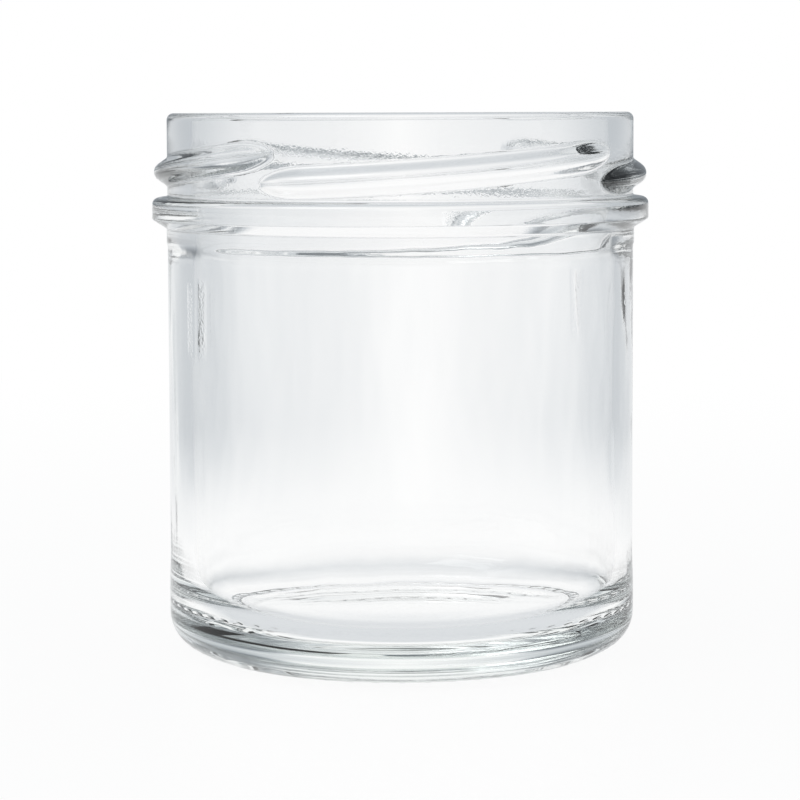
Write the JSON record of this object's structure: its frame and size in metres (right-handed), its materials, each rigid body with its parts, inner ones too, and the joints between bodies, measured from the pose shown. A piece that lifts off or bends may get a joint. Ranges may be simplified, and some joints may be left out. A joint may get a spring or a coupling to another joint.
{
  "type": "glass jar",
  "caption": "Straight-sided clear glass food jar, open at the top, with a lugged finish that a twist-off lid locks on.",
  "frame": {"origin": "centre of the ring the jar stands on", "axes": "+Z along the jar's axis, up through the mouth; -Y is the front, +X its right"},
  "size_m": [0.0666, 0.0666, 0.0726],
  "materials": {
    "glass": "clear flint container glass, fire polished"
  },
  "bodies": {
    "root": {"jar": "glass"}
  },
  "joints": []
}
